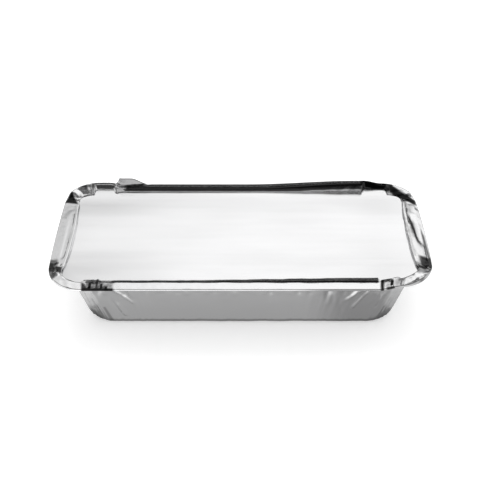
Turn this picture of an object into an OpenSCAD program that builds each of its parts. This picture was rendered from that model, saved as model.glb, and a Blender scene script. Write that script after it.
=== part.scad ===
// Foil food container closed by a foil-faced board lid.
// The tray is one pressed sheet of foil: a raised base panel, pleated walls, a ledge for the lid,
// and a rim that is folded inwards over the lid's edge and ends in a rolled hem.
// X runs along the container, Y across it, Z up. The origin is under the middle of the base.

/* [Tray] */
// Length over the folded rim
rim_l = 210; // [185:1:250]
// Width over the folded rim
rim_w = 98; // [84:1:120]
// Corner radius of the rim, seen from above
rim_r = 19.5; // [16:0.5:24]
// Height of the ledge that carries the lid
ledge_z = 39.4; // [24:0.2:60]
// How far the rim stands out past the top of the wall
overhang = 9; // [6.5:0.5:11]
// Thickness of the foil
foil_t = 0.2; // [0.12:0.02:0.3]

/* [Wall] */
// Lean of the walls, from the vertical
wall_lean = 11.5; // [6:0.5:18]
// Corner radius of the wall under the ledge
wall_r = 16; // [11:0.5:18]
// Corner radius of the wall at its foot
foot_r = 17; // [12:0.5:20]
// Radius where the wall turns into the base
base_edge_r = 6.5; // [4:0.5:8]
// Radius where the wall turns into the ledge
ledge_bend_r = 1.2; // [0.8:0.1:2]
// Depth of the pleats along the straight walls
side_pleat = 0.22; // [0.1:0.02:0.4]
// Depth of the pleats round the corners
corner_pleat = 0.75; // [0.3:0.05:1]

/* [Base] */
// Width of the flat foot ring that the tray stands on
foot_ring_w = 5; // [3:0.5:8]
// Height of the raised panel inside the foot ring
panel_h = 1.2; // [0.6:0.1:2]

/* [Folded rim] */
// Width of the folded flange along the front
front_flange_w = 6.4; // [4:0.2:9]
// Width of the folded flange along the back
back_flange_w = 8; // [6:0.5:10]
// Width of the folded flange in the middle of both ends
end_flange_w = 8.6; // [7:0.2:10.4]
// How much narrower the end flange is beside the corners
end_bow = 1.6; // [0:0.2:2.4]
// Upward slope of the flange along the front
front_slope = 4; // [3:0.5:10]
// Upward slope of the flange along the back
back_slope = 7; // [6:0.5:16]
// Upward slope of the flange at both ends
end_slope = 10; // [7:0.5:20]
// Extra slope of the flange in the corners, where it can't lie down
corner_lift = 4; // [3:0.5:15]
// How much the crumpled corners rise and fall
crumple = 3; // [0:0.5:3]
// Height of the ridge along the flange at both ends
end_ridge = 0.5; // [0:0.1:0.9]

/* [Crimps and rises] */
// Slope of the gathers where the rim is crimped beside the corners
crimp_lift = 15; // [5:1:25]
// Length of the crimp at the left end of the front
left_crimp_l = 17; // [8:1:20]
// Length of the other three crimps
crimp_l = 11; // [8:1:14]
// How far the fold stands up in a tab at the left end of the back
tab_rise = 3; // [0:0.2:4]
// Length of the tab
tab_l = 16; // [10:1:20]
// How far the flange rises towards the right end of the back
back_rise = 2.2; // [0:0.2:3]
// How far the flange stands off the lid at the front right corner
front_rise = 1.5; // [0:0.1:2]

/* [Hem] */
// Width of the rolled hem at the left end of the front
left_hem_w = 1.1; // [0.9:0.1:2.2]
// Width of the rolled hem at the right end of the front
right_hem_w = 2.2; // [0.9:0.1:2.4]
// Width of the rolled hem along the back and the ends
hem_w = 1.4; // [0.9:0.1:2.2]
// Thickness of the rolled hem
hem_t = 0.7; // [0.5:0.05:0.8]
// How steeply the hem stands up from the flange along the front
hem_tilt = 50; // [30:1:60]

/* [Lid] */
// Thickness of the foil-faced board
lid_t = 0.6; // [0.4:0.05:0.9]
// Clearance between the lid and the foil round it
lid_gap = 0.15; // [0.1:0.01:0.2]

/* [Hidden] */

// The fold closes round the lid's edge, so its radius follows the lid's thickness
half_foil = foil_t / 2;
fold_r = lid_t / 2 + lid_gap + half_foil;
fold_inset = fold_r + half_foil;

// The wall is a straight slope from its top, just under the ledge, to its foot on the base's round edge
wall_top_z = ledge_z - ledge_bend_r;
wall_foot_z = half_foil + base_edge_r * (1 - sin(wall_lean));
wall_foot_in = overhang + (wall_top_z - wall_foot_z) * tan(wall_lean);
ring_in = wall_foot_in + base_edge_r * cos(wall_lean);

// Stations round the tray: how many on a long side, on an end and in a corner
side_n = 33;
end_n = 13;
corner_n = 14;

// A station is the share of the straight run along X and Y, and the way the outline faces there
stations = concat(
    [for (k = [0:side_n - 1]) [crowded(k, side_n), -1, -90]],
    corner(1, -1, -90),
    [for (k = [0:end_n - 1]) [1, crowded(k, end_n), 0]],
    corner(1, 1, 0),
    [for (k = [0:side_n - 1]) [-crowded(k, side_n), 1, 90]],
    corner(-1, 1, 90),
    [for (k = [0:end_n - 1]) [-1, -crowded(k, end_n), 180]],
    corner(-1, -1, 180)
);
station_n = len(stations);

function corner(sx, sy, from) = [for (k = [0:corner_n - 1]) [sx, sy, from + 90 * k / (corner_n - 1)]];

// Shares from -1 to 1 that lie closer together towards both ends, where the rim is crimped
function crowded(k, n) = let (even = 2 * (k + 0.5) / n - 1) 0.45 * even + 0.55 * sin(90 * even);

// A number from 0 to 1 that looks random but is the same on every run
function scatter(k) = abs(sin(k * 137.5) * 43.7) - floor(abs(sin(k * 137.5) * 43.7));

// 1 and -1 in turn, from station to station
function zigzag(i) = i % 2 == 0 ? 1 : -1;

// Mixes a front or back value with an end value, by the way the outline faces
function facing(st, front, back, end) =
    let (across = pow(sin(st[2]), 2))
    end * (1 - across) + (sin(st[2]) < 0 ? front : back) * across;

// 1 in the middle of a corner, 0 on every straight run
function in_corner(st) = pow(sin(2 * st[2]), 2);

// 1 where the rim is crimped, on the long sides next to each corner, and 0 elsewhere
function in_crimp(st) =
    let (
        from_corner = (1 - abs(st[0])) * (rim_l / 2 - rim_r),
        length = st[0] < 0 && st[1] < 0 ? left_crimp_l : crimp_l
    )
    abs(cos(st[2])) < 0.01 && from_corner < length ? 1 : 0;

// Depth of the pleat at station i: every other station stands out or in, by an uneven amount
function pleat(i) =
    let (deepest = side_pleat + (corner_pleat - side_pleat) * in_corner(stations[i]))
    zigzag(i) * deepest * (0.55 + 0.45 * scatter(i));

// How far the fold alone stands up at station i: a tab past the back's left crimp, with a steep left end
function tab(i) =
    let (st = stations[i], off = (1 + st[0]) * (rim_l / 2 - rim_r) - crimp_l)
    sin(st[2]) < 0.99 || off < 0 ? 0 : tab_rise * min(1, max(0, 2 - 2 * off / tab_l));

// How far the whole flange stands off the lid at station i: a long ramp that ends at the back's right
// crimp, and a bulge in the front right corner
function rise(i) =
    let (
        st = stations[i],
        run = rim_l / 2 - rim_r,
        off = (1 - st[0]) * run - crimp_l
    )
    sin(st[2]) > 0.99 ? back_rise * max(0, off < 0 ? 1 + off / crimp_l : 1 - off / run)
    : cos(st[2]) > 0 && sin(st[2]) < 0 ? front_rise * in_corner(st)
    : 0;

// Slope of the flange at station i, with its corner lift, crimps and crumples
function slope(i) =
    let (st = stations[i])
    facing(st, front_slope, back_slope, end_slope)
    + in_crimp(st) * crimp_lift * (1 + zigzag(i)) / 2
    + in_corner(st) * (corner_lift + crumple * zigzag(i));

// Rows from the raised panel to the ledge: inset from the rim, height, corner radius, share of the pleat
base_rows = [
    [ring_in + foot_ring_w + panel_h, half_foil + panel_h, foot_r - base_edge_r, 0],
    [ring_in + foot_ring_w, half_foil, foot_r - base_edge_r, 0],
];
edge_rows = [for (a = [0, 40, 90 - wall_lean])
    let (in = ring_in - base_edge_r * sin(a))
    [in, half_foil + base_edge_r * (1 - cos(a)), foot_r - (in - wall_foot_in), a / 120]];
wall_rows = [for (share = [1 / 3, 2 / 3])
    [
        wall_foot_in + (overhang - wall_foot_in) * share,
        wall_foot_z + (wall_top_z - wall_foot_z) * share,
        foot_r + (wall_r - foot_r) * share,
        1
    ]];
ledge_rows = [
    [overhang, wall_top_z, wall_r, 0.5],
    [overhang - ledge_bend_r, ledge_z, wall_r + ledge_bend_r, 0],
];

// Rows of the fold, flange and hem at station i, from the ledge's outer edge to the hem's tucked end
function rim_rows(i) =
    let (
        st = stations[i],
        turn = 180 - slope(i),
        width = facing(st, front_flange_w, back_flange_w, end_flange_w - end_bow * pow(st[1], 2)),
        fold = [for (a = [0, 45, 90, 135, turn])
            [fold_inset - fold_r * sin(a), ledge_z + fold_r * (1 - cos(a))]],
        lift = [0, rise(i)],
        top = fold[4] + lift,
        end = top + [-cos(turn), sin(turn)] * width,
        ridge = end_ridge * (1 - pow(sin(st[2]), 2)),
        middle = (top + end) / 2 + [0, ridge],
        front_hem_w = left_hem_w + (right_hem_w - left_hem_w) * (1 + st[0]) / 2,
        stand = slope(i) + facing(st, hem_tilt, 0, 0),
        out = [cos(stand), sin(stand)],
        back = [out[1], -out[0]] * hem_t,
        tip = end + out * facing(st, front_hem_w, hem_w, hem_w) * (1 - in_corner(st) / 3),
        hem = [tip, tip + (out * hem_t + back) / 2, tip + back, end + (tip - end) / 4 + back],
        stood = lift + [0, tab(i)],
        flange = concat([fold[0], fold[1], fold[2], fold[3] + stood, fold[4] + stood, middle, end], hem)
    )
    [for (p = flange) [p[0], p[1], rim_r - p[0], 0]];

// A point of the rounded rectangle that lies the given distance inside the rim, at one station
function outline(st, inset, r) =
    let (hl = rim_l / 2 - inset, hw = rim_w / 2 - inset)
    [st[0] * (hl - r) + r * cos(st[2]), st[1] * (hw - r) + r * sin(st[2])];

// Middle of the foil as a grid of points, one list for each station
grid = [for (i = [0:station_n - 1])
    [for (row = concat(base_rows, edge_rows, wall_rows, ledge_rows, rim_rows(i)))
        let (xy = outline(stations[i], row[0] - pleat(i) * row[3], row[2])) [xy[0], xy[1], row[1]]]];
row_n = len(grid[0]);

// Across the foil, towards the food: straight up on the base, and square to the grid elsewhere
function across_foil(i, j) =
    let (
        before = (i + station_n - 1) % station_n,
        after = (i + 1) % station_n,
        along = grid[after][j] - grid[before][j],
        outward = grid[i][min(j + 1, row_n - 1)] - grid[i][max(j - 1, 0)],
        n = cross(outward, along)
    )
    j < 3 ? [0, 0, 1] : n / norm(n);

// Points of one face of the foil: side 1 is the food's side, side -1 the outside
function skin(side) = [for (i = [0:station_n - 1], j = [0:row_n - 1])
    grid[i][j] + across_foil(i, j) * half_foil * side];

// One pressed sheet of foil, closed along the hem's edge, with a middle point in each face of the panel
module tray() {
    size = station_n * row_n;
    inside = [for (i = [0:station_n - 1], j = [0:row_n - 2])
        let (a = i * row_n + j, b = ((i + 1) % station_n) * row_n + j)
        each [[b, a + 1, a], [b + 1, a + 1, b]]];
    outside = [for (f = inside) [f[2] + size, f[1] + size, f[0] + size]];
    edge = [for (i = [0:station_n - 1])
        let (a = (i + 1) * row_n - 1, b = ((i + 1) % station_n + 1) * row_n - 1)
        each [[b, a + size, a], [b + size, a + size, b]]];
    panel = [for (i = [0:station_n - 1]) [((i + 1) % station_n) * row_n, i * row_n, 2 * size]];
    under = [for (f = panel) [f[1] + size, f[0] + size, 2 * size + 1]];
    middles = [for (side = [1, -1]) [0, 0, half_foil + panel_h + half_foil * side]];
    color("silver")
        polyhedron(points = concat(skin(1), skin(-1), middles), faces = concat(inside, outside, edge, panel, under));
}

// Flat board with round corners, held between the ledge and the folded rim
module lid() {
    inset = fold_inset + lid_gap;
    l = rim_l - 2 * inset;
    w = rim_w - 2 * inset;
    r = rim_r - inset;
    color("gainsboro")
        translate([0, 0, ledge_z + half_foil + lid_gap])
            linear_extrude(lid_t) {
                square([l - 2 * r, w], center = true);
                square([l, w - 2 * r], center = true);
                for (sx = [-1, 1], sy = [-1, 1])
                    translate([sx * (l / 2 - r), sy * (w / 2 - r)])
                        circle(r, $fn = 96);
            }
}

tray();
lid();
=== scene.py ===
import math

import bmesh
import bpy
import numpy as np
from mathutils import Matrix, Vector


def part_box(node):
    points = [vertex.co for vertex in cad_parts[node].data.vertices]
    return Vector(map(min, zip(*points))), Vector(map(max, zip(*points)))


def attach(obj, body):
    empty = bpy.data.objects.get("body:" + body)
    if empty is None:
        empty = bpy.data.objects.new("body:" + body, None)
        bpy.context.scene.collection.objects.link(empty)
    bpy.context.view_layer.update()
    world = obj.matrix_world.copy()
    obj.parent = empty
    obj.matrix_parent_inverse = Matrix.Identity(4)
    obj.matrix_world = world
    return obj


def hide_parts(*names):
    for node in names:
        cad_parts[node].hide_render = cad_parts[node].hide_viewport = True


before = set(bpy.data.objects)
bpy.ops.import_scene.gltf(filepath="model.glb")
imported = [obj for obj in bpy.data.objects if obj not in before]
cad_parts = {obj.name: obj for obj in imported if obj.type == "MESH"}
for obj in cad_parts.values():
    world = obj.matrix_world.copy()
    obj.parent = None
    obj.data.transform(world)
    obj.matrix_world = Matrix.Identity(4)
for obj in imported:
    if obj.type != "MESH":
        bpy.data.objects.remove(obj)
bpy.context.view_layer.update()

# View: the container is seen square on from the front and from about 38 degrees above, as on a
# seller's white page. The lens and distance come from a fit to the rim, the walls and the foot line.
PHOTO_SIDE = 480
LENS_PX = 950
VIEW_DISTANCE = 0.5465
VIEW_ELEVATION = math.radians(37.8)
AIM_HEIGHT = 0.036
PHOTO_X = 240.6

camera_data = bpy.data.cameras.new("camera")
camera_data.sensor_width = 36
camera_data.lens = LENS_PX / PHOTO_SIDE * camera_data.sensor_width
camera_data.shift_x = (PHOTO_SIDE / 2 - PHOTO_X) / PHOTO_SIDE
camera_data.clip_start = 0.01
camera = bpy.data.objects.new("camera", camera_data)
camera.location = (
    0,
    -VIEW_DISTANCE * math.cos(VIEW_ELEVATION),
    AIM_HEIGHT + VIEW_DISTANCE * math.sin(VIEW_ELEVATION),
)
camera.rotation_euler = (math.pi / 2 - VIEW_ELEVATION, 0, 0)
bpy.context.scene.collection.objects.link(camera)
bpy.context.scene.camera = camera


# Tray: one sheet of thin foil, pressed into a pan with pleated walls. The press gathers the foil into
# pleats at the corners. The rim is folded inwards over the lid by hand, so its corners are crumpled,
# and its edge is a rolled bead.
FOIL_T = 0.2
SHOWN_FOIL_T = 0.12
RIM_R = 19.5
OVERHANG = 9.0
WALL_LEAN = math.radians(11.5)
WALL_R = 16.0
FOOT_R = 18.3
BASE_EDGE_R = 6.5
LEDGE_BEND_R = 1.2
FOOT_RING_W = 5.0
PANEL_H = 1.2
LID_GAP = 0.15

tray_high = np.array(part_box("tray")[1]) * 1000
lid_low, lid_high = (np.array(corner) * 1000 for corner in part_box("lid"))
rim_half_l, rim_half_w = tray_high[0], tray_high[1]
half_foil = FOIL_T / 2
ledge_z = lid_low[2] - LID_GAP - half_foil
tight_fold_r = (lid_high[2] - lid_low[2]) / 2 + LID_GAP + half_foil


def crowded(count, pull):
    """Steps from -1 to 1 that crowd towards both ends: even steps mixed with the sine of even angles."""
    even = np.linspace(-1, 1, count)
    return (1 - pull) * even + pull * np.sin(even * math.pi / 2)


def rim_walk(front_count, end_count, back_count, corner_count):
    """Stations once round the rim, from the front left: share of the straight run along X and along Y,
    and the angle that the outline faces, as three arrays."""
    front, end, back = crowded(front_count, 0.6), crowded(end_count, 0.3), crowded(back_count, 0.6)
    turn = np.linspace(0, math.pi / 2, corner_count + 2)[1:-1]
    runs = []
    for k, (sx, sy) in enumerate([(front, -1), (1, end), (-back, 1), (-1, -end)]):
        facing = (k - 1) * math.pi / 2
        runs.append(np.broadcast_arrays(sx, sy, facing))
        runs.append(np.broadcast_arrays((1, 1, -1, -1)[k], (-1, 1, 1, -1)[k], facing + turn))
    return [np.concatenate([run[n] for run in runs]).astype(float) for n in range(3)]


def smooth(low, high, value):
    """0 below low, 1 above high, and 3t^2 - 2t^3 between, where t is the share of the way."""
    t = np.clip((value - low) / (high - low), 0, 1)
    return t * t * (3 - 2 * t)


def hump(start, end, edge, value):
    """1 between start and end, fading smoothly to 0 over edge at both of them."""
    return smooth(start - edge, start + edge, value) * (1 - smooth(end - edge, end + edge, value))


def zigzag(value):
    """A wave of straight lines between -1 and 1, once for each whole number: sharp folds of a sheet."""
    return 4 * np.abs(value - np.floor(value + 0.5)) - 1


def wander(value, seed, waves=5):
    """A smooth random line between about -1 and 1: the mean of sines of uneven lengths and starts."""
    rng = np.random.default_rng(seed)
    turns = rng.uniform(0.5, 1.9, waves)
    starts = rng.uniform(0, 2 * math.pi, waves)
    return sum(np.sin(value * t * 2 * math.pi + s) for t, s in zip(turns, starts)) * 1.6 / waves


def crumple(points, size, seed, folds=6):
    """Height of crumpled foil at points, from about -1 to 1: the mean of zigzags across random
    directions, each bent a little by a slow sine, so that flat facets meet at sharp folds."""
    rng = np.random.default_rng(seed)
    total = 0
    for _ in range(folds):
        way = rng.normal(size=3)
        way /= np.linalg.norm(way)
        bend = rng.normal(size=3) / (size * 2.5)
        along = points @ way / (size * rng.uniform(0.7, 1.6))
        total = total + zigzag(along + 0.3 * np.sin(points @ bend + rng.uniform(0, 6)) + rng.uniform(0, 1))
    return total * 2 / folds


share_x, share_y, facing = rim_walk(190, 56, 110, 66)
in_corner = np.sin(2 * facing) ** 2
across = np.sin(facing) ** 2
is_front = np.where(np.sin(facing) < 0, 1.0, 0.0)
rim_x = share_x * (rim_half_l - RIM_R) + RIM_R * np.cos(facing)
rim_y = share_y * (rim_half_w - RIM_R) + RIM_R * np.sin(facing)
step = np.hypot(np.diff(rim_x, append=rim_x[0]), np.diff(rim_y, append=rim_y[0]))
rim_run = np.cumsum(step) - step


def by_side(front, back, end):
    """A value for each station: front or back on the long sides, end on the short ones, mixed by the
    square of the sine of the way that the outline faces."""
    return end * (1 - across) + np.where(is_front > 0, front, back) * across


# The pan's rows, from the base panel to the ledge's outer edge, as inset from the rim, height, corner
# radius and share of the pleats.
wall_top_z = ledge_z - LEDGE_BEND_R
wall_foot_z = half_foil + BASE_EDGE_R * (1 - math.sin(WALL_LEAN))
wall_foot_in = OVERHANG + (wall_top_z - wall_foot_z) * math.tan(WALL_LEAN)
ring_in = wall_foot_in + BASE_EDGE_R * math.cos(WALL_LEAN)
panel_in = ring_in + FOOT_RING_W + PANEL_H
inner_r = FOOT_R - BASE_EDGE_R

panel_rows = np.array([
    [panel_in + 3.0, half_foil + PANEL_H, inner_r - 3.0, 0],
    [panel_in + 0.4, half_foil + PANEL_H, inner_r - 0.4, 0],
])
ring_rows = np.array([
    [panel_in - 0.3, half_foil + PANEL_H * 0.85, inner_r, 0],
    [panel_in - PANEL_H + 0.3, half_foil + PANEL_H * 0.15, inner_r, 0],
    [panel_in - PANEL_H - 0.4, half_foil, inner_r, 0],
])
bend = np.linspace(0, math.pi / 2 - WALL_LEAN, 5)
bend_in = ring_in - BASE_EDGE_R * np.sin(bend)
bend_rows = np.stack([
    bend_in,
    half_foil + BASE_EDGE_R * (1 - np.cos(bend)),
    FOOT_R - (bend_in - wall_foot_in),
    bend * 0.5,
], axis=1)
climb = np.linspace(0, 1, 36)[1:]
wall_rows = np.stack([
    wall_foot_in + (OVERHANG - wall_foot_in) * climb,
    wall_foot_z + (wall_top_z - wall_foot_z) * climb,
    FOOT_R + (WALL_R - FOOT_R) * climb,
    0.65 + 0.35 * np.sin(math.pi * climb) - 0.55 * climb ** 3,
], axis=1)
turn_in = np.array([0.45, 1.0])
ledge_rows = np.stack([
    OVERHANG - LEDGE_BEND_R * turn_in ** 2,
    wall_top_z + LEDGE_BEND_R * (1 - (1 - turn_in) ** 2),
    WALL_R + LEDGE_BEND_R * turn_in ** 2,
    0.3 * (1 - turn_in),
], axis=1)
pan_rows = np.concatenate([panel_rows, ring_rows, bend_rows, wall_rows, ledge_rows])

# The folded rim. The flange lies almost flat over the lid. Beside the front corners it is crimped. At
# the back its fold stands up in a tab on the left and rises towards the right. The hem along its inner
# edge stands up in front, goes on flat at the ends and leans down onto the lid behind.
FLANGE_FRONT, FLANGE_BACK, FLANGE_END = 5.0, 5.0, 8.6
TAB_H = 4.3
BACK_RISE, RAMP_RISE, CORNER_RISE = 0.9, 2.6, 1.5
LEFT_CRIMP, RIGHT_CRIMP = (-85, -68), (75, 86)
LEFT_CRIMP_W, RIGHT_CRIMP_W = 1.8, 1.5
HEM_TILT = math.radians(50)
HEM_DROOP = math.radians(43)
HEM_OVER_LID = 0.45

back = 1 - is_front
on_side = across ** 8
crimp = is_front * on_side * np.maximum(hump(*LEFT_CRIMP, 1.2, rim_x), hump(*RIGHT_CRIMP, 1.0, rim_x))
front_hem_run = hump(-77, 74.2, 0.6, rim_x)
narrow = back * np.maximum(1 - smooth(-77.5, -75.5, rim_x), smooth(74.2, 75.4, rim_x))
tab = back * on_side * smooth(-76, -73.6, rim_x) * (1 - smooth(-67, -56, rim_x))
tab_end = back * hump(-76.5, -70, 1.0, rim_x)
tucked = back * smooth(0.02, 0.5, in_corner)
ramp = back * on_side * smooth(5, 70, rim_x) * (1 - smooth(73, 86, rim_x))
bulge = is_front * in_corner * np.where(rim_x > 0, 1.0, 0.25)
back_corner = 1.2 * (1 - smooth(-80, -72, rim_x)) + 0.7 * smooth(72, 80, rim_x)
back_corner = back * smooth(0, 0.25, across) * back_corner
raised = BACK_RISE * back * smooth(0, 0.3, across) + back_corner + RAMP_RISE * ramp + CORNER_RISE * bulge

fold_r = np.full(rim_x.size, tight_fold_r)
end_bulge = 1 - 0.24 * (rim_y / 32) ** 2
back_w = FLANGE_BACK - 3.1 * narrow * (1 - tucked) + 3.5 * tucked - 1.8 * ramp - 0.9 * tab_end
crimp_w = np.where(rim_x > 0, RIGHT_CRIMP_W, LEFT_CRIMP_W - LEFT_CRIMP_W * smooth(-77.5, -75, rim_x))
flange_w = by_side(FLANGE_FRONT, back_w, FLANGE_END * end_bulge) + 0.1 * wander(rim_run / 30, 9)
flange_w = flange_w + crimp * crimp_w
slope = by_side(4, 8.5, 10) + 0.6 * wander(rim_run / 38, 5)
slope = np.radians(slope - 2.0 * is_front * in_corner - 5.5 * tab_end)
over_lid = ledge_z + 2 * tight_fold_r + raised - lid_high[2]
leaning = np.arcsin(np.clip((over_lid - 0.3) / flange_w, 0, 0.5))
slope = slope * (1 - tucked) - leaning * tucked


def squared(value):
    """The root of a sine or cosine with its sign kept, which turns a round fold into a pressed one."""
    return np.sign(value) * np.sqrt(np.abs(value))


fold_in = fold_r + half_foil
turn = np.linspace(0, 1, 7)[1:, None] * (math.pi - slope)
fold_inset = fold_in - fold_r * squared(np.sin(turn))
fold_lift = (TAB_H * tab + raised) * smooth(0.35, 0.75, turn / math.pi)
fold_z = ledge_z + fold_r * (1 - squared(np.cos(turn))) + fold_lift
reach = np.array([0.03, 0.10, 0.18, 0.26, 0.34, 0.50, 0.66, 0.80, 0.96, 1.0])[:, None]
tab_face = 0.30 * np.maximum(tab, 0.1)
flange_inset = fold_inset[-1] + np.cos(slope) * flange_w * reach
flange_foot = ledge_z + fold_r * (1 + squared(np.cos(slope))) + raised
flange_z = flange_foot + np.sin(slope) * flange_w * reach
flange_z = flange_z + TAB_H * tab * np.clip(1 - reach / tab_face, 0, 1)

droop = HEM_DROOP * (1 + 0.33 * ramp + 0.1 * narrow * (rim_x < 0) - 0.5 * tab_end) * (1 - 0.8 * tucked)
front_hem = (0.9 + 1.3 * smooth(-40, 75, rim_x)) * front_hem_run + 0.15
down_to_lid = (flange_z[-1] - lid_high[2] - HEM_OVER_LID) / np.sin(droop)
down_to_lid = np.clip(down_to_lid, 0.2, 3.2 + 3.6 * ramp)
hem_w = by_side(front_hem, down_to_lid, 1.4 * (1 - 0.8 * in_corner)) + 0.06 * wander(rim_run / 12, 10)
hem_t = by_side(0.7, 0.3, 0.6) * (1 - 0.8 * in_corner)
hem_tip = np.minimum(0.23 * hem_w, 0.35)
stand = by_side(slope + HEM_TILT * (1 - 0.5 * crimp), -droop, slope)
out_in, out_up = np.cos(stand), np.sin(stand)
rolled = [(hem_w * q, 0) for q in (0.35, 0.7)]
for angle in np.radians([10, 60, 120, 170]):
    rolled.append((hem_w + hem_tip * math.sin(angle), 0.5 - 0.5 * math.cos(angle)))
rolled += [(hem_w * 0.5, 1), (hem_w * 0.1, 1)]
hem_inset = np.stack([flange_inset[-1] + out_in * w + out_up * hem_t * t for w, t in rolled])
hem_z = np.stack([flange_z[-1] + out_up * w - out_in * hem_t * t for w, t in rolled])
ledge_inset = fold_in + (OVERHANG - LEDGE_BEND_R - fold_in) * np.array([0.5, 0.0])[:, None]

rim_inset = np.concatenate([ledge_inset, fold_inset, flange_inset, hem_inset])
rim_z = np.concatenate([np.full(ledge_inset.shape, ledge_z), fold_z, flange_z, hem_z])

# Pleats of the walls: small and uneven along the sides, deeper and sharp in the corners.
side_pleats = 0.16 * wander(rim_run / 7.5, 1)
side_pleats = side_pleats + 0.10 * zigzag(rim_run / 5.1 + 0.4 * wander(rim_run / 19, 2))
corner_pleat = 0.45 + 0.2 * back - 0.15 * is_front * (rim_x > 0)
corner_pleats = corner_pleat * zigzag(rim_run / 3.3 + 0.25 * wander(rim_run / 9, 3))
pleats = side_pleats * (1 - in_corner) + corner_pleats * in_corner

inset = np.concatenate([pan_rows[:, :1] - pan_rows[:, 3:] * pleats, rim_inset])
height = np.concatenate([np.broadcast_to(pan_rows[:, 1:2], (len(pan_rows), pleats.size)), rim_z])
radius = np.concatenate([np.broadcast_to(pan_rows[:, 2:3], (len(pan_rows), pleats.size)), RIM_R - rim_inset])
radius = np.maximum(radius, 1.0)
sheet = np.stack([
    share_x * (rim_half_l - inset - radius) + radius * np.cos(facing),
    share_y * (rim_half_w - inset - radius) + radius * np.sin(facing),
    height,
], axis=2)


# What handling did to the outline: the front right corner is pushed back, and both ends bow outwards.
CORNER_PUSH = 3.3
LEFT_BOW, RIGHT_BOW, BOW_HALF_L = -0.5, 0.8, 33


def pushed_back(across_x, across_y):
    """How far the front right corner of the rim is pushed back by hand: CORNER_PUSH at its middle,
    fading smoothly along the front and along the end."""
    return CORNER_PUSH * smooth(73, 88, across_x) * (1 - smooth(-40, -24, across_y))


end_bow = np.where(rim_x > 0, RIGHT_BOW, LEFT_BOW) * (1 - across)
end_bow = end_bow * np.clip(1 - (rim_y / BOW_HALF_L) ** 2, 0, 1)
sheet[len(pan_rows):, :, 0] += end_bow
sheet[len(pan_rows):, :, 1] += pushed_back(rim_x, rim_y)


def outward(grid):
    """Unit normals of a grid of points that closes along its second axis, away from the food: the
    cross product of the steps round the tray and the steps up its section."""
    round_tray = np.roll(grid, -1, axis=1) - np.roll(grid, 1, axis=1)
    up_section = np.gradient(grid, axis=0)
    normal = np.cross(round_tray, up_section)
    return normal / np.maximum(np.linalg.norm(normal, axis=2, keepdims=True), 1e-9)


def crease(across_x, across_y, start, end, width):
    """Share of a sharp fold between two points of a plane: a roof across the line, as wide as width,
    that fades towards both of its ends."""
    way = np.array(end, dtype=float) - start
    length = np.hypot(*way)
    way /= length
    off_x, off_y = across_x - start[0], across_y - start[1]
    along = (off_x * way[0] + off_y * way[1]) / length
    aside = np.abs(off_y * way[0] - off_x * way[1])
    return np.clip(1 - aside / width, 0, 1) * hump(0.08, 0.92, 0.12, along)


def bell_spot(across_x, across_y, spot, size):
    """1 at spot, falling off over size as a bell."""
    return np.exp(-((across_x - spot[0]) ** 2 + (across_y - spot[1]) ** 2) / size ** 2)


def patch(across_x, across_y, corners, edge):
    """1 inside a convex outline, fading to 0 over edge at its sides: the least of the distances to the
    sides through smooth, with the outline's own turning sense as its sign."""
    sides = list(zip(corners, corners[1:] + corners[:1]))
    sense = np.sign(sum(x0 * y1 - x1 * y0 for (x0, y0), (x1, y1) in sides))
    inside = [
        ((x1 - x0) * (across_y - y0) - (y1 - y0) * (across_x - x0)) * sense / math.hypot(x1 - x0, y1 - y0)
        for (x0, y0), (x1, y1) in sides
    ]
    return smooth(-edge, edge, np.min(inside, axis=0))


# Which rows of the sheet are wall, flange and hem, as shares from 0 to 1.
row_count, station_count = height.shape
is_wall = np.zeros(row_count)
is_wall[len(panel_rows) + len(ring_rows) + 2:len(pan_rows) - 2] = 1
first_fold = len(pan_rows) + len(ledge_inset)
first_flange = first_fold + len(fold_z)
is_rim = np.zeros(row_count)
is_rim[first_flange:first_flange + len(flange_z) - 1] = 1
is_rim[first_flange] = 0.4
is_hem = np.zeros(row_count)
is_hem[first_flange + len(flange_z):first_flange + len(flange_z) + 3] = 1
x, y, z = sheet[..., 0], sheet[..., 1], sheet[..., 2]
front_wall = y < -rim_half_w * 0.5
front_half = y < -rim_half_w * 0.3

# How far the crumples stand out of the wall. The single pleats are lines in X and Z, and the dents
# are stretches of X in its upper part.
wall_rise = 0.10 * crumple(sheet, 12, 21) + (0.11 * in_corner + 0.03) * crumple(sheet, 3.6, 22)
wall_rise = wall_rise + 0.50 * hump(27.5, 34, 2, z) * crumple(sheet * [1, 1, 0.5], 5, 25)
for start, end, width, size in [
    ((-72, 34), (-64.7, 26.5), 1.1, 0.75),
    ((-65.6, 27.4), (-58.8, 19.5), 1.1, 0.9),
    ((-63.5, 34), (-58.4, 24), 1.6, 0.5),
    ((-69, 21), (-64, 8), 1.8, 0.75),
    ((-71.3, 22), (-67.5, 11), 1.3, -0.4),
    ((57.2, 21.3), (66.8, 32.8), 1.4, 0.95),
    ((61.6, 14.8), (70.2, 31.6), 1.1, 0.95),
    ((71.5, 18), (75.5, 32), 1.3, 0.5),
    ((75.4, 15), (79, 27.5), 1.2, -0.55),
    ((48, 18), (51.8, 33), 2.4, 0.45),
    ((53.5, 30), (56, 12), 2.0, -0.3),
]:
    wall_rise = wall_rise + size * crease(x, z, start, end, width) * front_wall
for start, end, depth in [(46.5, 51.5, 1.3), (55.5, 58, 0.6), (-60, -50, 0.5), (15, 22, 0.4)]:
    wall_rise = wall_rise - depth * hump(start, end, 1.0, x) * smooth(18, 33, z) * front_wall

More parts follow.
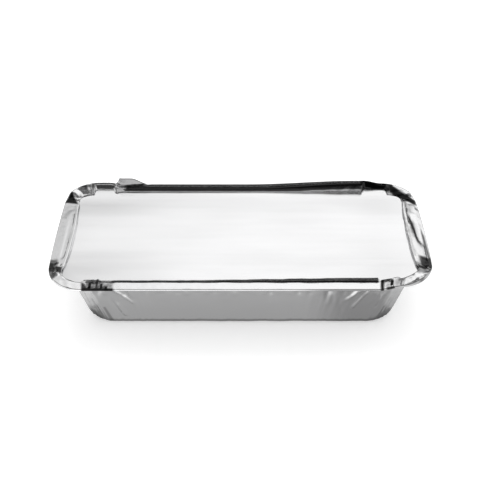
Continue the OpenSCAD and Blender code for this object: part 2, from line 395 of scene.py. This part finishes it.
# The same for the flange, with its worn spots and creases in X and Y.
unruly = 1 - 0.8 * back * on_side
rim_rise = (0.03 + 0.06 * np.maximum(in_corner, crimp)) * crumple(sheet, 3.5, 23) * unruly
rim_rise = rim_rise + 0.04 * crumple(sheet * [1, 0.4, 1], 8, 24) * unruly
rim_rise = rim_rise + 0.16 * crimp * crumple(sheet, 3.2, 30)
for spot, size, rise in [
    ((-101, -33), 8.5, 0.40),
    ((101.8, -27), 5.0, 0.20),
    ((99, 22), 6.0, 0.14),
    ((-95, 38), 5.0, 0.22),
]:
    rim_rise = rim_rise + rise * bell_spot(x, y, spot, size) * crumple(sheet, 5.0, 26, 4)
for start, end, width, rise in [
    ((-101.4, 22), (-101.2, -26), 1.1, 0.28),
    ((-97.5, 20), (-98.4, -28), 1.2, -0.42),
    ((-95.0, 12), (-96.4, -24), 0.9, 0.25),
    ((99.2, 19), (102.0, -12), 1.5, -0.95),
    ((95.0, 24), (96.8, -24), 1.1, -0.5),
    ((98.0, 28), (97.4, 8), 1.2, -0.35),
    ((101.0, 26), (100.0, 14), 1.2, -0.3),
    ((104.4, 4), (103.6, -36), 1.3, -0.5),
    ((-84.8, -41.4), (-76.0, -43.0), 1.1, 0.7),
    ((-76.8, -41), (-76.2, -49), 1.1, -0.5),
    ((76.6, -41.0), (75.4, -49.0), 1.2, -0.5),
    ((77.0, -41.6), (83.0, -41.6), 1.1, 0.6),
    ((82.0, -41.0), (80.9, -47.0), 1.1, -0.4),
    ((85.5, -47.5), (88, -40.0), 1.2, -0.4),
    ((86, -47.0), (101, -36.6), 1.4, 0.25),
]:
    rim_rise = rim_rise + rise * crease(x, y, start, end, width)

# Painted shade and painted dark reflections, darkening the foil's colour where it is folded into itself
# and hardly any light comes back out: outlines in X and Y, how soft their sides are, and how dark they are.
shade = 0.10 * crumple(sheet, 2.6, 33)
painted_shade = np.zeros(x.shape)
for corners, edge, dark in [
    ([(-105.2, 30.6), (-102, 39.6), (-101, 38.4), (-96.4, 27)], 0.6, 1.0),
    ([(-98.6, 42.0), (-98.5, 49.5), (-77, 49.5), (-77, 44.4), (-92, 43.6)], 0.8, 0.20),
    ([(-98.1, 42.4), (-97.5, 47.7), (-93.2, 49), (-93.1, 42.9)], 1.0, 0.9),
    ([(-91.4, 49.4), (-88.6, 49.4), (-88.6, 43.9), (-90.8, 43.9)], 0.9, 0.9),
    ([(-78.2, 49.6), (-75.2, 49.6), (-75.4, 45.0), (-77.8, 45.0)], 0.6, 0.6),
    ([(-95, 34.5), (-98.5, 36), (-96, 41)], 1.2, 0.30),
    ([(-92.5, 36.5), (-96, 38), (-93, 42)], 1.0, 0.2),
    ([(73.4, 50.5), (92, 50), (94, 42.5), (88, 41.0), (73.0, 41.6)], 0.6, 0.98),
    ([(90, 48), (94, 45.0), (104.6, 32.4), (104.6, 27.6), (102.0, 28.6), (90, 40.5)], 0.6, 1.0),
    ([(91, 37), (95, 39), (99.5, 31), (98, 27), (95.5, 29)], 1.2, 0.35),
    ([(97.1, 27.5), (101.8, 28.5), (101.3, 18.9), (96.6, 18.9)], 1.4, 0.35),
    ([(97.9, 19.1), (100.9, 9.2), (101.0, -12.3), (98.8, -5), (97.6, 10.2)], 0.7, 0.75),
    ([(94.6, 24), (95.8, 24), (97.2, -22), (95.8, -22)], 0.6, 0.3),
    ([(103.2, 6), (104.8, -2), (105.2, -30), (102.9, -24), (103.4, -5)], 0.6, 0.9),
    ([(98.8, -21.0), (105.5, -22.0), (105.5, -31.5), (98.4, -30.4)], 0.8, 0.96),
    ([(95.6, -25.5), (99.4, -27.5), (105.5, -29.5), (104.5, -36), (96.5, -37.2), (93.6, -36)], 1.1, 0.66),
    (
        [(86, -47.4), (91.5, -44.2), (96.4, -41.0), (101.0, -36.8)]
        + [(104.5, -33), (108, -38), (100, -50), (88, -52)],
        0.6,
        0.82,
    ),
    ([(75.4, -40.9), (77.3, -41.2), (76.4, -49.6), (74.4, -49.6)], 0.5, 1.0),
    ([(76.8, -40.4), (82.4, -40.4), (82.2, -42.4), (76.8, -43.0)], 0.5, 0.93),
    ([(80.6, -41.0), (82.6, -41.4), (81.6, -46.2), (80.0, -45.2)], 0.5, 1.0),
    ([(77.8, -46.7), (82.5, -46.0), (83.2, -49.6), (77.6, -49.9)], 0.5, 0.96),
    ([(76.8, -42.6), (80.2, -42.4), (80, -46.7), (77, -46.9)], 0.6, 0.35),
    ([(82.8, -41.2), (86.5, -38.0), (88.2, -41.2), (85.9, -46.8), (82.2, -48.4)], 0.9, 0.50),
    ([(84.2, -40.6), (86.6, -39.0), (87.6, -41.2), (85.0, -42.6)], 0.6, 0.8),
    (
        [(-107, -29.8), (-104.9, -23.5), (-97.4, -26.0), (-96.9, -36.0)]
        + [(-99.2, -38.3), (-98.5, -44), (-104, -42)],
        0.8,
        0.80,
    ),
    ([(-105.4, -25.8), (-102.5, -26.6), (-100.7, -34.4), (-106, -35)], 0.8, 0.97),
    ([(-101.6, -30.4), (-97.2, -31.3), (-97.2, -36.0), (-100.8, -36.2)], 0.8, 0.96),
    ([(-99, -44.7), (-91.9, -47.8), (-84.3, -48.6), (-84.1, -51), (-93, -50.8), (-99, -47.2)], 0.5, 0.35),
    (
        [(-85.0, -41.2), (-83.4, -39.4), (-79.1, -39.4), (-76.2, -42.4)]
        + [(-78.7, -42.6), (-83.0, -42.2)],
        0.5,
        0.90,
    ),
    ([(-83.3, -41.4), (-77.0, -41.4), (-76.0, -49.4), (-82.5, -49.0)], 0.6, 0.70),
    ([(-76.2, -42.9), (-68.7, -43.9), (-67.4, -49.9), (-75.5, -49.2)], 0.9, 0.58),
    ([(-78.2, -41.4), (-76.4, -41.4), (-75.5, -49.6), (-77.6, -49.2)], 0.5, 0.97),
    ([(-81.9, -43.1), (-79.8, -43.1), (-79.4, -49.0), (-81.7, -49.0)], 0.5, 1.0),
    ([(-75.6, -44.2), (-73.7, -44.2), (-73.0, -49.0), (-75.4, -49.0)], 0.5, 1.0),
    ([(-73.2, -45.8), (-70.9, -45.8), (-70.3, -49.9), (-72.8, -49.9)], 0.5, 1.0),
    ([(-85, -47.2), (-76.1, -47.4), (-68.2, -47.8), (-66.0, -51.6), (-85, -50.6)], 0.5, 0.98),
    ([(-85.4, -43.4), (-83.5, -44.2), (-81.2, -48.9), (-85, -48.5)], 0.5, 0.95),
]:
    mark = patch(x, y, corners, edge)
    painted_shade = np.maximum(painted_shade, mark * (dark + (1 - dark) * shade * 2.5))

# Painted shade on the tab above the flange's foot, and darker painted shade on the flange under it.
tab_top = z > flange_foot + 0.5
under_tab = (z <= flange_foot + 0.5) * (is_rim[:, None] > 0)
painted_shade = np.maximum(painted_shade, 0.5 * smooth(0, 0.2, tab) * tab_top)
painted_shade = np.maximum(painted_shade, 0.93 * smooth(0, 0.3, tab) * (1 - tab_end) * under_tab)

# Painted shade on the bend between flange and hem, wider behind than in front, then on the hem under
# the risen fold and on the fold's outer side at the front right.
at_bend = np.zeros((row_count, 1))
at_bend[first_flange + 7:first_flange + 11] = 1
back_bend = 0.92 * back * on_side * (1 - tab_end) * (1 - 0.8 * narrow * (rim_x < 0))
painted_shade = np.maximum(painted_shade, back_bend * at_bend)
at_bend[:first_flange + 9] = 0
painted_shade = np.maximum(painted_shade, 0.88 * is_front * on_side * front_hem_run * at_bend)
painted_shade = np.maximum(painted_shade, ramp * (0.62 + 2 * shade) * is_hem[:, None])
fold_rows = slice(first_fold, first_flange)
painted_shade[fold_rows] = np.maximum(painted_shade[fold_rows], 0.45 * is_front * smooth(25, 50, rim_x))
# The painted shade so far stays above the wall's top.
painted_shade = painted_shade * (z > wall_top_z + 0.5)

# Painted shade low on the wall: two dark spots and two dark pleats at the front left, and a spot at the
# front right.
for spot, size, dark in [((-81.2, 3.5), 4.0, 0.75), ((-84.3, 8.5), 2.6, 0.45), ((80, 2.5), 3.5, 0.35)]:
    painted_shade = painted_shade + dark * bell_spot(x, z, spot, size) * front_half * (z < wall_top_z)
for corners, edge, dark in [
    ([(-76.8, 16), (-75.6, 16), (-71.4, 2.5), (-74, 2.5)], 0.7, 0.45),
    ([(-83, 22), (-81.8, 22), (-78.4, 9), (-80.4, 9)], 0.9, 0.25),
]:
    painted_shade = painted_shade + dark * patch(x, z, corners, edge) * front_half * (z < wall_top_z)
painted_shade = np.clip(painted_shade, 0, 1)
droop_rise = 0.12 * ramp * crumple(sheet, 2.8, 34)
rise = is_wall[:, None] * wall_rise + is_rim[:, None] * rim_rise + is_hem[:, None] * droop_rise
sheet = sheet + outward(sheet) * rise[..., None]
sheet[..., 2] = np.maximum(sheet[..., 2], half_foil)


def closed_strip_faces(rows, columns, first_face):
    """Quads of a grid that closes along its second axis, and one flat face over its first row."""
    here = np.arange(rows * columns).reshape(rows, columns)
    after = np.roll(here, -1, axis=1)
    quads = np.stack([here[:-1], after[:-1], after[1:], here[1:]], axis=-1).reshape(-1, 4)
    faces = quads.tolist()
    if first_face:
        faces.append(here[0][::-1].tolist())
    return faces


tray_mesh = bpy.data.meshes.new("tray_foil")
tray_faces = closed_strip_faces(row_count, station_count, True)
tray_mesh.from_pydata((sheet.reshape(-1, 3) * 0.001).tolist(), [], tray_faces)
tray_mesh.polygons.foreach_set("use_smooth", np.ones(len(tray_mesh.polygons), dtype=bool))
# The painted shade is stored on the mesh as an attribute that darkens the foil's colour.
painted_shade_layer = tray_mesh.attributes.new("painted_shade", "FLOAT", "POINT")
painted_shade_layer.data.foreach_set("value", painted_shade.ravel().astype(np.float32))
tray = bpy.data.objects.new("tray_foil", tray_mesh)
bpy.context.scene.collection.objects.link(tray)
thickness = tray.modifiers.new("foil thickness", "SOLIDIFY")
thickness.thickness = SHOWN_FOIL_T * 0.001
thickness.offset = 0

foil = bpy.data.materials.new("pressed foil")
foil.use_nodes = True
nodes, links = foil.node_tree.nodes, foil.node_tree.links
shader = nodes["Principled BSDF"]
shader.inputs["Metallic"].default_value = 1.0
shaded = nodes.new("ShaderNodeAttribute")
shaded.attribute_name = "painted_shade"
tone_and_shade = nodes.new("ShaderNodeMix")
tone_and_shade.data_type = "RGBA"
# The foil's own grey, and the near black that the painted shade mixes into its colour.
tone_and_shade.inputs[6].default_value = (0.90, 0.90, 0.905, 1)
tone_and_shade.inputs[7].default_value = (0.012, 0.012, 0.012, 1)
links.new(shaded.outputs["Fac"], tone_and_shade.inputs[0])
links.new(tone_and_shade.outputs[2], shader.inputs["Base Color"])
place = nodes.new("ShaderNodeTexCoord")
fine = nodes.new("ShaderNodeTexNoise")
fine.inputs["Scale"].default_value = 420
fine.inputs["Detail"].default_value = 4
links.new(place.outputs["Object"], fine.inputs["Vector"])
polish = nodes.new("ShaderNodeMapRange")
polish.inputs["To Min"].default_value = 0.12
polish.inputs["To Max"].default_value = 0.22
links.new(fine.outputs["Fac"], polish.inputs["Value"])
links.new(polish.outputs["Result"], shader.inputs["Roughness"])
grain = nodes.new("ShaderNodeBump")
grain.inputs["Strength"].default_value = 0.05
grain.inputs["Distance"].default_value = 0.0004
links.new(fine.outputs["Fac"], grain.inputs["Height"])
links.new(grain.outputs["Normal"], shader.inputs["Normal"])
tray_mesh.materials.append(foil)

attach(tray, "root")
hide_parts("tray")


# Lid: a stiff board with a foil face outside, cut with round corners. It lies on the tray's ledge
# under the folded rim. The foil face is satin, with faint rolling lines along the board and a slight
# wave. Its colour carries painted light and shade in bands on its left part and in two spots on the right.
lid_half_l, lid_half_w = lid_high[0], lid_high[1]
lid_r = RIM_R - (rim_half_l - lid_half_l)
lid_rows = 46
lid_x, lid_y, lid_facing = rim_walk(110, 50, 110, 20)
ring_inset = lid_half_w * (1 - np.linspace(0, 1, lid_rows) ** 0.8)[:, None]
ring_r = np.maximum(lid_r - ring_inset, 0)
top = np.stack([
    lid_x * (lid_half_l - ring_inset - ring_r) + ring_r * np.cos(lid_facing),
    lid_y * (lid_half_w - ring_inset - ring_r) + ring_r * np.sin(lid_facing),
    np.full((lid_rows, lid_x.size), lid_high[2]),
], axis=2)
WAVE_L = 49
wave = np.sin((top[..., 1] - 2.5 + 1.5 * wander(top[..., 0] / 60, 32)) * 2 * math.pi / WAVE_L)
wave = wave * (0.27 - 0.17 * smooth(-75, -10, top[..., 0])) + 0.04 * wander(top[..., 0] / 70, 31)
top[..., 2] += wave * smooth(0, 10, ring_inset)
top[..., 1] += pushed_back(top[..., 0], top[..., 1])
underside_edge = top[-1:].copy()
underside_edge[..., 2] = lid_low[2]
board = np.concatenate([top, underside_edge])
lid_faces = closed_strip_faces(len(board), lid_x.size, False)
lid_faces.append((np.arange(lid_x.size) + (len(board) - 1) * lid_x.size).tolist())
lid_mesh = bpy.data.meshes.new("lid_board")
lid_mesh.from_pydata((board.reshape(-1, 3) * 0.001).tolist(), [], lid_faces)
merged = bmesh.new()
merged.from_mesh(lid_mesh)
bmesh.ops.remove_doubles(merged, verts=merged.verts, dist=1e-6)
bmesh.ops.recalc_face_normals(merged, faces=merged.faces)
merged.to_mesh(lid_mesh)
merged.free()
lid_mesh.polygons.foreach_set("use_smooth", np.ones(len(lid_mesh.polygons), dtype=bool))
places = np.empty(len(lid_mesh.vertices) * 3)
lid_mesh.vertices.foreach_get("co", places)
face_x, face_y = places.reshape(-1, 3)[:, 0] * 1000, places.reshape(-1, 3)[:, 1] * 1000
# Painted light and shade in the lid's colour: on its left part a darker band behind, a lighter band across
# the middle and a darker front edge, and two darker spots on the right.
lid_light_and_shade = 0.45 * hump(18, 33, 4, face_y) - 0.35 * hump(-16, 4, 5, face_y)
lid_light_and_shade = lid_light_and_shade + 0.30 * (1 - smooth(-31, -23, face_y))
lid_light_and_shade = lid_light_and_shade * (1 - smooth(-85, -25, face_x))
for spot, shade_level in [((84, 24), 0.35), ((80, -32), 0.30)]:
    lid_light_and_shade = lid_light_and_shade + shade_level * bell_spot(face_x, face_y, spot, 16)
lid_shade_layer = lid_mesh.attributes.new("lid_light_and_shade", "FLOAT", "POINT")
lid_shade_layer.data.foreach_set("value", lid_light_and_shade.astype(np.float32))
lid = bpy.data.objects.new("lid_board", lid_mesh)
bpy.context.scene.collection.objects.link(lid)

satin = bpy.data.materials.new("satin foil face")
satin.use_nodes = True
nodes, links = satin.node_tree.nodes, satin.node_tree.links
shader = nodes["Principled BSDF"]
shader.inputs["Metallic"].default_value = 1.0
place = nodes.new("ShaderNodeTexCoord")
clouds_place = nodes.new("ShaderNodeMapping")
clouds_place.inputs["Scale"].default_value = (12, 48, 20)
links.new(place.outputs["Object"], clouds_place.inputs["Vector"])
clouds = nodes.new("ShaderNodeTexNoise")
clouds.inputs["Scale"].default_value = 1.0
clouds.inputs["Detail"].default_value = 2
links.new(clouds_place.outputs["Vector"], clouds.inputs["Vector"])
cloud_share = nodes.new("ShaderNodeMapRange")
cloud_share.inputs["From Min"].default_value = 0.35
cloud_share.inputs["From Max"].default_value = 0.68
cloud_share.inputs["To Min"].default_value = 0.22
cloud_share.inputs["To Max"].default_value = 0.61
links.new(clouds.outputs["Fac"], cloud_share.inputs["Value"])
lid_shade_read = nodes.new("ShaderNodeAttribute")
lid_shade_read.attribute_name = "lid_light_and_shade"
streaks_and_shade = nodes.new("ShaderNodeMath")
streaks_and_shade.operation = "ADD"
streaks_and_shade.use_clamp = True
links.new(cloud_share.outputs["Result"], streaks_and_shade.inputs[0])
links.new(lid_shade_read.outputs["Fac"], streaks_and_shade.inputs[1])
tone_and_shade = nodes.new("ShaderNodeMix")
tone_and_shade.data_type = "RGBA"
# The satin's own light grey, and the darker grey that its random streaks and the painted light and shade mix
# in.
tone_and_shade.inputs[6].default_value = (0.98, 0.98, 0.985, 1)
tone_and_shade.inputs[7].default_value = (0.80, 0.80, 0.805, 1)
links.new(streaks_and_shade.outputs[0], tone_and_shade.inputs[0])
links.new(tone_and_shade.outputs[2], shader.inputs["Base Color"])
stretch = nodes.new("ShaderNodeMapping")
stretch.inputs["Scale"].default_value = (9, 420, 60)
links.new(place.outputs["Object"], stretch.inputs["Vector"])
lines = nodes.new("ShaderNodeTexNoise")
lines.inputs["Scale"].default_value = 1.0
lines.inputs["Detail"].default_value = 5
links.new(stretch.outputs["Vector"], lines.inputs["Vector"])
polish = nodes.new("ShaderNodeMapRange")
polish.inputs["To Min"].default_value = 0.13
polish.inputs["To Max"].default_value = 0.24
links.new(lines.outputs["Fac"], polish.inputs["Value"])
links.new(polish.outputs["Result"], shader.inputs["Roughness"])
lid_mesh.materials.append(satin)

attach(lid, "root")
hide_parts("lid")


# Studio: a white page. The floor stays white to the camera apart from the container's soft shadow.
# In reflections it is greyer close to the foot, where the container shades it, and changes along X.
FLOOR_SIDE = 6.0
FOOT_HALF = (0.088, 0.033, 0)
FADE_END = 0.08
DIM_END = 0.26
MIRRORED_STRENGTH = 2.4
floor_mesh = bpy.data.meshes.new("floor")
corner = FLOOR_SIDE / 2
floor_corners = [(-corner, -corner, 0), (corner, -corner, 0), (corner, corner, 0), (-corner, corner, 0)]
floor_mesh.from_pydata(floor_corners, [], [(0, 1, 2, 3)])
floor = bpy.data.objects.new("floor", floor_mesh)
bpy.context.scene.collection.objects.link(floor)

page = bpy.data.materials.new("white page")
page.use_nodes = True
nodes, links = page.node_tree.nodes, page.node_tree.links
shader = nodes["Principled BSDF"]
shader.inputs["Base Color"].default_value = (0.8, 0.8, 0.8, 1)
shader.inputs["Roughness"].default_value = 1.0
shader.inputs["Specular IOR Level"].default_value = 0.0
output = nodes["Material Output"]
glow = nodes.new("ShaderNodeEmission")
glow.inputs["Strength"].default_value = 0.36
seen = nodes.new("ShaderNodeAddShader")
links.new(shader.outputs["BSDF"], seen.inputs[0])
links.new(glow.outputs["Emission"], seen.inputs[1])
rays = nodes.new("ShaderNodeLightPath")
place = nodes.new("ShaderNodeTexCoord")

# Distance from the foot: the length of what is left of the place on the floor, taken on the positive
# side, beyond the foot's half size.
measure = [nodes.new("ShaderNodeVectorMath") for _ in range(4)]
for node, operation in zip(measure, ("ABSOLUTE", "SUBTRACT", "MAXIMUM", "LENGTH")):
    node.operation = operation
measure[1].inputs[1].default_value = FOOT_HALF
measure[2].inputs[1].default_value = (0, 0, 0)
links.new(place.outputs["Object"], measure[0].inputs[0])
for node, following in zip(measure, measure[1:]):
    links.new(node.outputs["Vector"], following.inputs[0])


def grey_ramp(stops):
    """A colour ramp of greys with eased steps. Each stop is a place from 0 to 1 and a level."""
    node = nodes.new("ShaderNodeValToRGB")
    node.color_ramp.interpolation = "EASE"
    elements = node.color_ramp.elements
    for k, (position, level) in enumerate(stops):
        stop = elements[k] if k < 2 else elements.new(position)
        stop.position = position
        stop.color = (level, level, level, 1)
    return node


fade_stops = [(0, 0.18), (0.003, 0.35), (0.024, 0.40), (0.058, 1.0)]
fade = grey_ramp([(away / FADE_END, level) for away, level in fade_stops])
share = nodes.new("ShaderNodeMath")
share.operation = "DIVIDE"
share.inputs[1].default_value = FADE_END
links.new(measure[3].outputs["Value"], share.inputs[0])
links.new(share.outputs[0], fade.inputs["Fac"])
floor_place = nodes.new("ShaderNodeSeparateXYZ")
links.new(place.outputs["Object"], floor_place.inputs["Vector"])
near = nodes.new("ShaderNodeMapRange")
near.inputs["From Min"].default_value = -DIM_END
near.inputs["From Max"].default_value = DIM_END
links.new(floor_place.outputs["X"], near.inputs["Value"])
dim_stops = [
    (-0.240, 0.34),
    (-0.140, 0.40),
    (-0.115, 0.85),
    (-0.100, 0.75),
    (-0.080, 0.43),
    (0.035, 0.42),
    (0.065, 0.285),
    (0.080, 0.29),
    (0.100, 0.54),
    (0.118, 0.70),
    (0.145, 0.38),
    (0.240, 0.34),
]
dim = grey_ramp([((place_x + DIM_END) / (2 * DIM_END), level) for place_x, level in dim_stops])
links.new(near.outputs["Result"], dim.inputs["Fac"])
strong = nodes.new("ShaderNodeMath")
strong.operation = "MULTIPLY"
strong.inputs[1].default_value = MIRRORED_STRENGTH
links.new(dim.outputs["Color"], strong.inputs[0])
mirrored = nodes.new("ShaderNodeEmission")
links.new(fade.outputs["Color"], mirrored.inputs["Color"])
links.new(strong.outputs[0], mirrored.inputs["Strength"])
choose = nodes.new("ShaderNodeMixShader")
links.new(rays.outputs["Is Glossy Ray"], choose.inputs["Fac"])
links.new(seen.outputs["Shader"], choose.inputs[1])
links.new(mirrored.outputs["Emission"], choose.inputs[2])
plain = nodes.new("ShaderNodeMixShader")
links.new(rays.outputs["Is Camera Ray"], plain.inputs["Fac"])
links.new(choose.outputs["Shader"], plain.inputs[1])
links.new(seen.outputs["Shader"], plain.inputs[2])
links.new(plain.outputs["Shader"], output.inputs["Surface"])
floor_mesh.materials.append(page)

# World: white to the camera and an even soft light on everything. In reflections it is a studio with
# a white card behind the container, which falls off to the left, a dark gap under it, and a dim room
# above it and over the camera.
world = bpy.data.worlds.new("studio")
world.use_nodes = True
bpy.context.scene.world = world
nodes, links = world.node_tree.nodes, world.node_tree.links
backdrop = nodes["Background"]
backdrop.inputs["Color"].default_value = (1, 1, 1, 1)
rays = nodes.new("ShaderNodeLightPath")
place = nodes.new("ShaderNodeTexCoord")
split = nodes.new("ShaderNodeSeparateXYZ")
links.new(place.outputs["Generated"], split.inputs["Vector"])


def eased(value, low, high, from_level, to_level):
    """A world level that goes smoothly from one level to another as value goes from low to high."""
    node = nodes.new("ShaderNodeMapRange")
    node.interpolation_type = "SMOOTHSTEP"
    node.inputs["From Min"].default_value = low
    node.inputs["From Max"].default_value = high
    for name, level in (("To Min", from_level), ("To Max", to_level)):
        if isinstance(level, (int, float)):
            node.inputs[name].default_value = level
        else:
            links.new(level, node.inputs[name])
    links.new(value, node.inputs["Value"])
    return node.outputs["Result"]


wide = nodes.new("ShaderNodeMath")
wide.operation = "ABSOLUTE"
links.new(split.outputs["X"], wide.inputs[0])
spread = nodes.new("ShaderNodeMath")
spread.operation = "SUBTRACT"
links.new(wide.outputs[0], spread.inputs[0])
links.new(eased(split.outputs["Z"], 0.28, 0.38, 0.32, 0.0), spread.inputs[1])
beside = eased(split.outputs["Z"], 0.50, 0.58, 0.80, 0.22)
gap = eased(spread.outputs[0], 0.30, 0.50, 0.012, beside)
gap = eased(split.outputs["Z"], 0.08, 0.15, 1.0, gap)
card = eased(split.outputs["X"], -0.33, 0.02, 0.70, 1.06)
card = eased(wide.outputs[0], 0.36, 0.54, card, beside)
overhead = eased(split.outputs["Z"], 0.93, 0.985, 0.04, 0.50)
behind = eased(split.outputs["Z"], 0.40, 0.48, gap, card)
behind = eased(split.outputs["Z"], 0.84, 0.90, behind, overhead)
before = eased(split.outputs["Z"], 0.30, 0.50, 1.0, 0.035)
reflected = eased(split.outputs["Y"], -0.35, 0.0, before, behind)
strength = nodes.new("ShaderNodeMix")
links.new(rays.outputs["Is Glossy Ray"], strength.inputs[0])
strength.inputs[2].default_value = 1.0
links.new(reflected, strength.inputs[3])
links.new(strength.outputs[0], backdrop.inputs["Strength"])

# One wide, soft lamp above, unseen in reflections, for the shadow under the container.
key_data = bpy.data.lights.new("overhead", "AREA")
key_data.shape = "RECTANGLE"
key_data.size = 0.7
key_data.size_y = 0.5
key_data.energy = 2.0
key_data.specular_factor = 0
key = bpy.data.objects.new("overhead", key_data)
key.location = (0, 0.30, 0.8)
key.visible_glossy = False
bpy.context.scene.collection.objects.link(key)

bpy.context.scene.view_settings.view_transform = "Standard"
